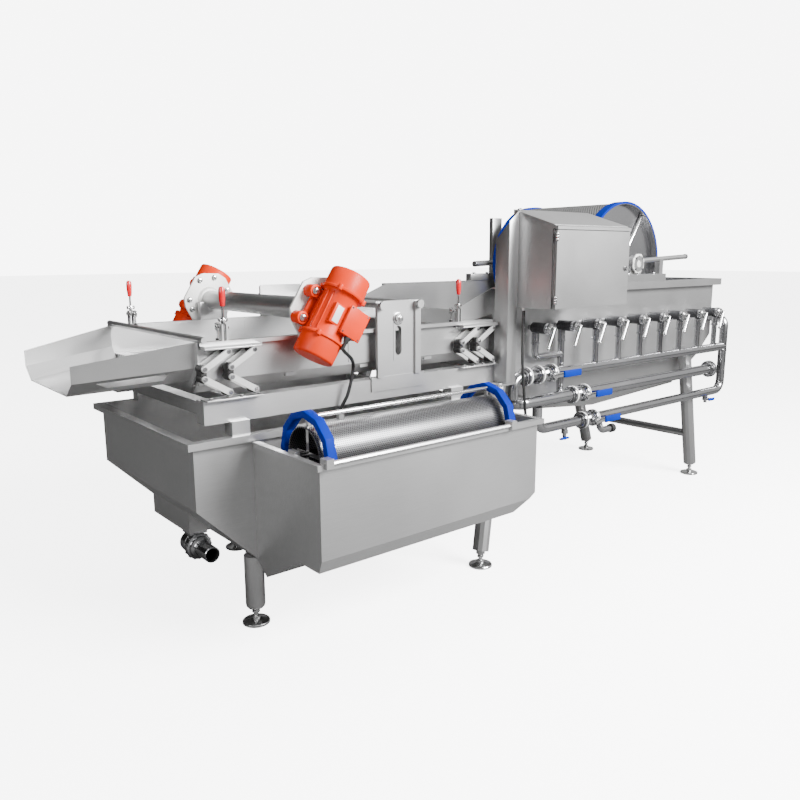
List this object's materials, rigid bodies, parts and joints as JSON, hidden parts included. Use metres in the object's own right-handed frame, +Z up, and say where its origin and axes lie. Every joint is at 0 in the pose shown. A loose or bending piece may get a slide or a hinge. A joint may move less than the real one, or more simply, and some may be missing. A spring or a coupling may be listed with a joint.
{
  "type": "vegetable washing machine",
  "caption": "Floor-standing vortex vegetable washer: hopper tank with side jets and immersion drum, vibrating dewatering screen with chute, collector and rotary filter.",
  "frame": {"origin": "centre of the machine's footprint on the floor", "axes": "+X from the outfeed chute to the wash tank's closed end, +Y from the operator side to the rear, +Z up"},
  "size_m": [3.92, 1.5752, 1.688],
  "materials": {
    "steel": "satin",
    "polished_steel": "polished",
    "motor_orange": "semi-gloss paint",
    "lever_blue": "satin coated lever",
    "hoop_blue": "satin",
    "clamp_red": "dipped grip on a steel lever",
    "cable_rubber": "matte",
    "mount_arms": "cast arms with rubber cores"
  },
  "bodies": {
    "frame": {"cabinet": "steel", "cable_cabinet": "cable_rubber", "cable_motor": "cable_rubber", "collector_tank": "steel", "column": "steel", "drain_valve": "polished_steel", "drum_bracket_far": "polished_steel", "drum_bracket_near": "polished_steel", "end_stand": "steel", "filter_tank": "steel", "foot_far_left": "polished_steel", "foot_far_middle": "polished_steel", "foot_far_right": "polished_steel", "foot_near_left": "polished_steel", "foot_near_middle": "polished_steel", "foot_near_right": "polished_steel", "gate_bridge": "steel", "leg_far_left": "steel", "leg_far_middle": "steel", "leg_near_left": "steel", "leg_near_middle": "steel", "lower_pipe": "polished_steel", "manifold": "polished_steel", "middle_pipe": "polished_steel", "mount_far_left": "mount_arms", "mount_far_right": "mount_arms", "mount_near_left": "mount_arms", "mount_near_right": "mount_arms", "screen_frame": "steel", "wash_tank": "steel"},
    "deck_body": {"deck": "steel", "chute": "steel", "screen_panel": "steel", "motor_beam": "steel", "motor_near": "motor_orange", "motor_far": "motor_orange"},
    "door": {"cabinet_door": "steel"},
    "drum": {"immersion_drum": "steel"},
    "filter": {"filter_bar": "polished_steel", "filter_drum": "steel", "filter_hoop_left": "hoop_blue", "filter_hoop_right": "hoop_blue"},
    "clamp_far_left_body": {"clamp_far_left": "clamp_red"},
    "clamp_far_right_body": {"clamp_far_right": "clamp_red"},
    "clamp_near_left_body": {"clamp_near_left": "clamp_red"},
    "clamp_near_right_body": {"clamp_near_right": "clamp_red"},
    "jet_lever_1_body": {"jet_lever_1": "polished_steel"},
    "jet_lever_2_body": {"jet_lever_2": "polished_steel"},
    "jet_lever_3_body": {"jet_lever_3": "polished_steel"},
    "jet_lever_4_body": {"jet_lever_4": "polished_steel"},
    "jet_lever_5_body": {"jet_lever_5": "polished_steel"},
    "jet_lever_6_body": {"jet_lever_6": "polished_steel"},
    "jet_lever_7_body": {"jet_lever_7": "polished_steel"},
    "jet_lever_8_body": {"jet_lever_8": "polished_steel"},
    "jet_lever_9_body": {"jet_lever_9": "polished_steel"},
    "tap_handle_left_body": {"tap_handle_left": "lever_blue"},
    "tap_handle_right_body": {"tap_handle_right": "lever_blue"},
    "valve_lever_lower_body": {"valve_lever_lower": "lever_blue"},
    "valve_lever_middle_body": {"valve_lever_middle": "lever_blue"},
    "valve_lever_upper_body": {"valve_lever_upper": "lever_blue"}
  },
  "joints": [
    {"name": "deck_vibration", "type": "slide", "parent": "frame", "child": "deck_body", "axis": [-0.848, 0, 0.5299], "range_m": [-0.003, 0.003], "stiffness_N_per_m": 300000, "springref_m": 0.00471, "deforming": ["mount_far_left", "mount_far_right", "mount_near_left", "mount_near_right", "cable_motor"]},
    {"name": "cabinet_door_hinge", "type": "hinge", "parent": "frame", "child": "door", "pos_m": [-0.0753, -0.6153, 1.3357], "axis": [0, 0, -1], "range_deg": [0, 110]},
    {"name": "immersion_drum_turn", "type": "hinge", "parent": "frame", "child": "drum", "pos_m": [1.03034, 0.1441, 1.35], "axis": [0, 1, 0], "continuous": true},
    {"name": "filter_drum_turn", "type": "hinge", "parent": "frame", "child": "filter", "pos_m": [-0.894, -0.58102, 0.732], "axis": [1, 0, 0], "continuous": true},
    {"name": "clamp_far_left_toggle", "type": "hinge", "parent": "deck_body", "child": "clamp_far_left_body", "pos_m": [-1.482, 0.5841, 1.155], "axis": [-1, 0, 0], "range_deg": [0, 80]},
    {"name": "clamp_far_right_toggle", "type": "hinge", "parent": "deck_body", "child": "clamp_far_right_body", "pos_m": [-0.348, 0.5841, 1.155], "axis": [-1, 0, 0], "range_deg": [0, 80]},
    {"name": "clamp_near_left_toggle", "type": "hinge", "parent": "deck_body", "child": "clamp_near_left_body", "pos_m": [-1.482, -0.2959, 1.155], "axis": [1, 0, 0], "range_deg": [0, 80]},
    {"name": "clamp_near_right_toggle", "type": "hinge", "parent": "deck_body", "child": "clamp_near_right_body", "pos_m": [-0.348, -0.2959, 1.155], "axis": [1, 0, 0], "range_deg": [0, 80]},
    {"name": "jet_lever_1_swivel", "type": "hinge", "parent": "frame", "child": "jet_lever_1_body", "pos_m": [0.176, -0.4065, 1.05], "axis": [0, 1, 0], "range_deg": [-60, 60]},
    {"name": "jet_lever_2_swivel", "type": "hinge", "parent": "frame", "child": "jet_lever_2_body", "pos_m": [0.3763, -0.4065, 1.05], "axis": [0, 1, 0], "range_deg": [-60, 60]},
    {"name": "jet_lever_3_swivel", "type": "hinge", "parent": "frame", "child": "jet_lever_3_body", "pos_m": [0.5766, -0.4065, 1.05], "axis": [0, 1, 0], "range_deg": [-60, 60]},
    {"name": "jet_lever_4_swivel", "type": "hinge", "parent": "frame", "child": "jet_lever_4_body", "pos_m": [0.7769, -0.4065, 1.05], "axis": [0, 1, 0], "range_deg": [-60, 60]},
    {"name": "jet_lever_5_swivel", "type": "hinge", "parent": "frame", "child": "jet_lever_5_body", "pos_m": [0.9772, -0.4065, 1.05], "axis": [0, 1, 0], "range_deg": [-60, 60]},
    {"name": "jet_lever_6_swivel", "type": "hinge", "parent": "frame", "child": "jet_lever_6_body", "pos_m": [1.1775, -0.4065, 1.05], "axis": [0, 1, 0], "range_deg": [-60, 60]},
    {"name": "jet_lever_7_swivel", "type": "hinge", "parent": "frame", "child": "jet_lever_7_body", "pos_m": [1.3778, -0.4065, 1.05], "axis": [0, 1, 0], "range_deg": [-60, 60]},
    {"name": "jet_lever_8_swivel", "type": "hinge", "parent": "frame", "child": "jet_lever_8_body", "pos_m": [1.5781, -0.4065, 1.05], "axis": [0, 1, 0], "range_deg": [-60, 60]},
    {"name": "jet_lever_9_swivel", "type": "hinge", "parent": "frame", "child": "jet_lever_9_body", "pos_m": [1.7784, -0.4065, 1.05], "axis": [0, 1, 0], "range_deg": [-60, 60]},
    {"name": "tap_handle_left_turn", "type": "hinge", "parent": "frame", "child": "tap_handle_left_body", "pos_m": [0.3493, -0.3609, 0.4897], "axis": [0, 0, -1], "range_deg": [0, 90]},
    {"name": "tap_handle_right_turn", "type": "hinge", "parent": "frame", "child": "tap_handle_right_body", "pos_m": [1.7334, -0.3898, 0.515], "axis": [0, -1, 0], "range_deg": [0, 90]},
    {"name": "valve_lever_lower_turn", "type": "hinge", "parent": "frame", "child": "valve_lever_lower_body", "pos_m": [0.5316, -0.4293, 0.555], "axis": [0, 1, 0], "range_deg": [0, 90]},
    {"name": "valve_lever_middle_turn", "type": "hinge", "parent": "frame", "child": "valve_lever_middle_body", "pos_m": [0.4438, -0.4293, 0.7], "axis": [0, -1, 0], "range_deg": [0, 90]},
    {"name": "valve_lever_upper_turn", "type": "hinge", "parent": "frame", "child": "valve_lever_upper_body", "pos_m": [0.176, -0.4293, 0.83], "axis": [0, 1, 0], "range_deg": [0, 90]}
  ]
}
